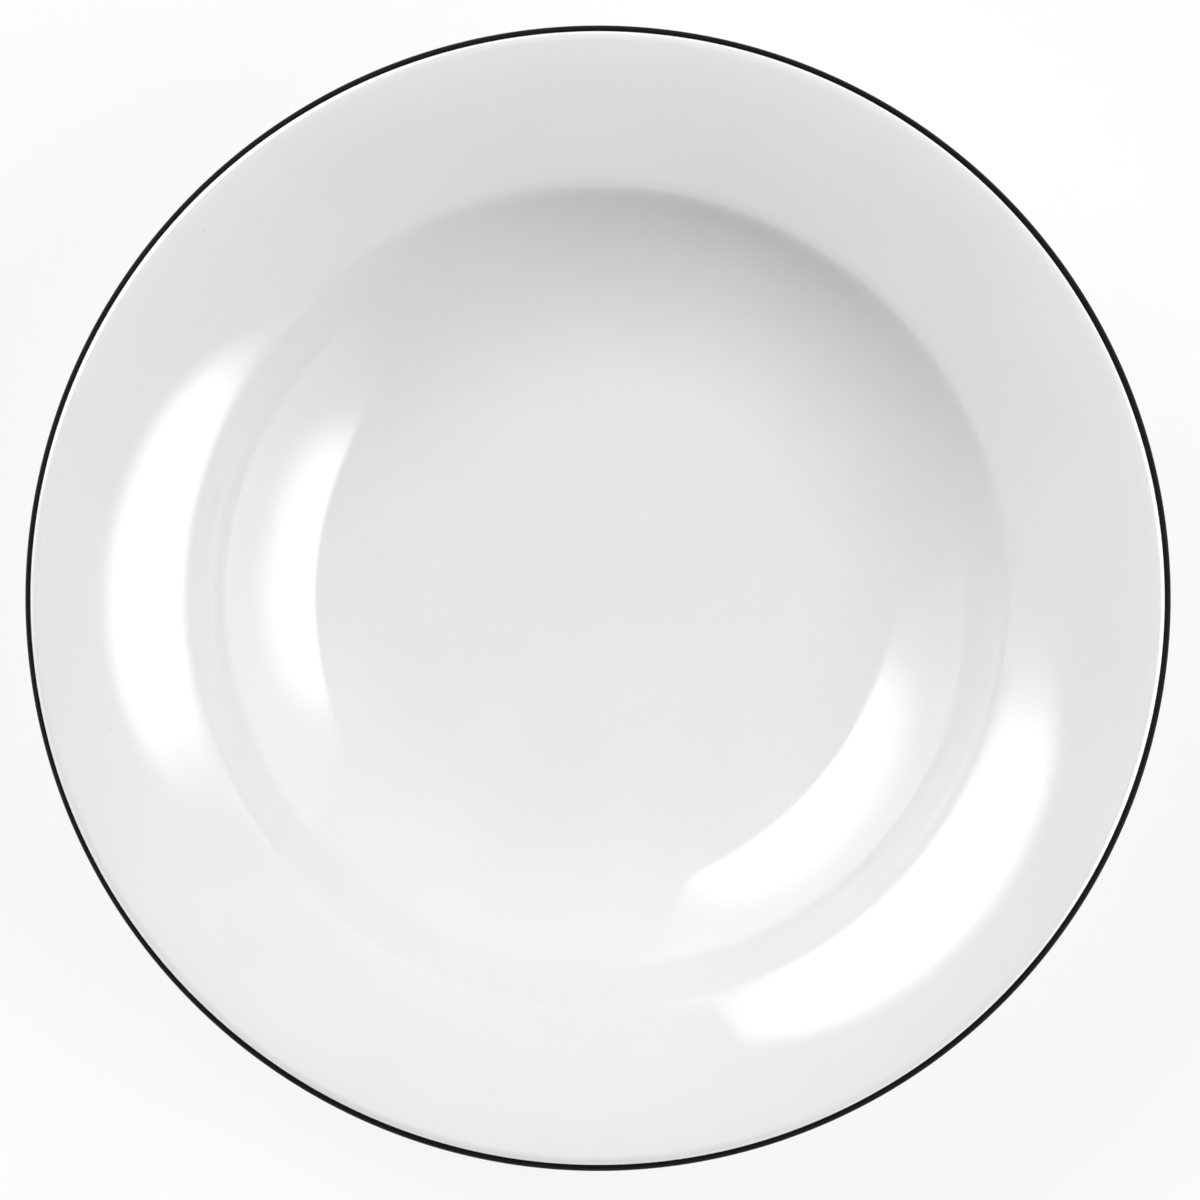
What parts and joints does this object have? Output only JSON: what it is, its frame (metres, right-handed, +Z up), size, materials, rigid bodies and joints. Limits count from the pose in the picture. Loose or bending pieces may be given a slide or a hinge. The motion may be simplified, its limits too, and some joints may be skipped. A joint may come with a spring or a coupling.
{
  "type": "pasta plate",
  "caption": "Round white glazed porcelain pasta plate with a deep coved well, a wide gently domed rim, a foot ring and a thin black line round its lip.",
  "frame": {"origin": "centre of the foot ring's flat face, where the plate stands", "axes": "+Z up along the plate's axis of revolution; X and Y are any two directions across it"},
  "size_m": [0.28, 0.28, 0.0506],
  "materials": {
    "porcelain": "unglazed fired porcelain, dry and finely grained",
    "white_glaze": "high gloss white glaze",
    "black_line": "satin black ceramic colour, hand banded"
  },
  "bodies": {
    "root": {"porcelain_body": "porcelain", "glaze_coat": "white_glaze", "base_glaze": "white_glaze", "rim_line": "black_line"}
  },
  "joints": []
}
